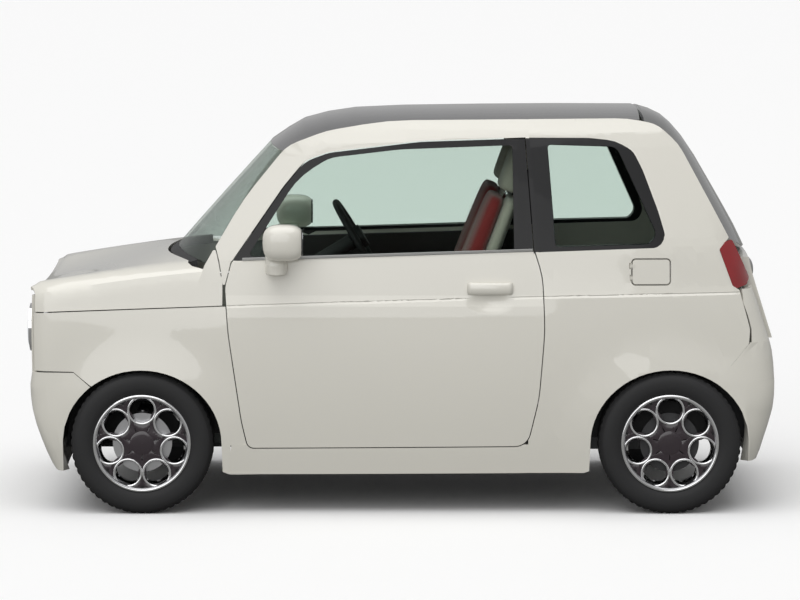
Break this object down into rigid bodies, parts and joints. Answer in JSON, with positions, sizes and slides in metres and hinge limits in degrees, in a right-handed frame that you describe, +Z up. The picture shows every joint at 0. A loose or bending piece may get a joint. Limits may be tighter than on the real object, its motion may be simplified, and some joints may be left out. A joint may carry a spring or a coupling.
{
  "type": "compact electric city car",
  "caption": "Small two-door electric city car with opening doors, front-hinged bonnet, rear hatch, charge lid, steered front wheels and turning steering wheel.",
  "frame": {"origin": "middle of the car's box on the ground", "axes": "+X forwards, +Y to the car's left, +Z up"},
  "size_m": [2.8545, 1.6928, 1.515],
  "materials": {
    "paint": "gloss",
    "bumper_paint": "gloss",
    "dark_roof": "gloss",
    "glass": "gloss",
    "dark_glass": "gloss",
    "chassis": "satin",
    "block": "matte",
    "hub": "satin",
    "black_plastic": "matte",
    "bright": "polished",
    "rim": "polished",
    "lamp": "gloss",
    "red_lamp": "gloss",
    "rubber": "matte",
    "seat_fabric": "matte"
  },
  "bodies": {
    "shell": {"floor_pan": "chassis", "wheel_houses": "black_plastic", "battery": "block", "motor": "block", "front_crossmember": "chassis", "rear_axle": "chassis", "rails": "paint", "sills": "paint", "left_quarter": "paint", "right_quarter": "paint", "wings": "paint", "roof_panel": "dark_roof", "windscreen": "glass", "quarter_glass": "dark_glass", "cowl": "black_plastic", "nose_panel": "paint", "grille": "bright", "headlamps": "lamp", "front_bumper": "bumper_paint", "rear_bumper": "bumper_paint", "tail_lamps": "red_lamp", "dashboard": "black_plastic", "left_seat": "seat_fabric", "right_seat": "seat_fabric"},
    "left_door": {"left_door": "paint", "left_door_glass": "glass", "left_mirror": "paint"},
    "right_door": {"right_door": "paint", "right_door_glass": "glass", "right_mirror": "paint"},
    "bonnet": {"bonnet": "paint"},
    "tailgate": {"tailgate": "paint", "tailgate_glass": "dark_glass"},
    "charge_lid": {"charge_lid": "paint"},
    "left_knuckle": {"left_knuckle": "hub"},
    "right_knuckle": {"right_knuckle": "hub"},
    "front_left_wheel": {"front_left_rim": "rim", "front_left_tyre": "rubber"},
    "front_right_wheel": {"front_right_rim": "rim", "front_right_tyre": "rubber"},
    "rear_left_wheel": {"rear_left_rim": "rim", "rear_left_tyre": "rubber"},
    "rear_right_wheel": {"rear_right_rim": "rim", "rear_right_tyre": "rubber"},
    "steering_wheel": {"steering_wheel": "black_plastic"}
  },
  "joints": [
    {"name": "left_door_hinge", "type": "hinge", "parent": "shell", "child": "left_door", "pos_m": [0.565, 0.697, 0.6], "axis": [0, 0, -1], "range_deg": [0, 65]},
    {"name": "right_door_hinge", "type": "hinge", "parent": "shell", "child": "right_door", "pos_m": [0.565, -0.697, 0.6], "axis": [0, 0, 1], "range_deg": [0, 65]},
    {"name": "bonnet_hinge", "type": "hinge", "parent": "shell", "child": "bonnet", "pos_m": [1.404, 0, 0.808], "axis": [0, 1, 0], "range_deg": [0, 55]},
    {"name": "tailgate_hinge", "type": "hinge", "parent": "shell", "child": "tailgate", "pos_m": [-0.93, 0, 1.48], "axis": [0, 1, 0], "range_deg": [0, 75]},
    {"name": "charge_lid_hinge", "type": "hinge", "parent": "shell", "child": "charge_lid", "pos_m": [-0.85725, 0.68673, 0.918], "axis": [0, 0, -1], "range_deg": [0, 55]},
    {"name": "left_steer", "type": "hinge", "parent": "shell", "child": "left_knuckle", "pos_m": [0.988, 0.6425, 0.269], "axis": [0, 0, 1], "range_deg": [-32, 32]},
    {"name": "right_steer", "type": "hinge", "parent": "shell", "child": "right_knuckle", "pos_m": [0.988, -0.6425, 0.269], "axis": [0, 0, 1], "range_deg": [-32, 32]},
    {"name": "steering_wheel_turn", "type": "hinge", "parent": "shell", "child": "steering_wheel", "pos_m": [0.185, -0.33, 0.96], "axis": [-0.8572, 0, 0.515], "range_deg": [-480, 480]},
    {"name": "front_left_spin", "type": "hinge", "parent": "left_knuckle", "child": "front_left_wheel", "pos_m": [0.988, 0.6425, 0.269], "axis": [0, 1, 0], "continuous": true},
    {"name": "front_right_spin", "type": "hinge", "parent": "right_knuckle", "child": "front_right_wheel", "pos_m": [0.988, -0.6425, 0.269], "axis": [0, 1, 0], "continuous": true},
    {"name": "rear_left_spin", "type": "hinge", "parent": "shell", "child": "rear_left_wheel", "pos_m": [-1.007, 0.6425, 0.269], "axis": [0, 1, 0], "continuous": true},
    {"name": "rear_right_spin", "type": "hinge", "parent": "shell", "child": "rear_right_wheel", "pos_m": [-1.007, -0.6425, 0.269], "axis": [0, 1, 0], "continuous": true}
  ],
  "couplings": [
    {"joint": "right_steer", "follows": "left_steer", "ratio": 1},
    {"joint": "steering_wheel_turn", "follows": "left_steer", "ratio": 15}
  ]
}
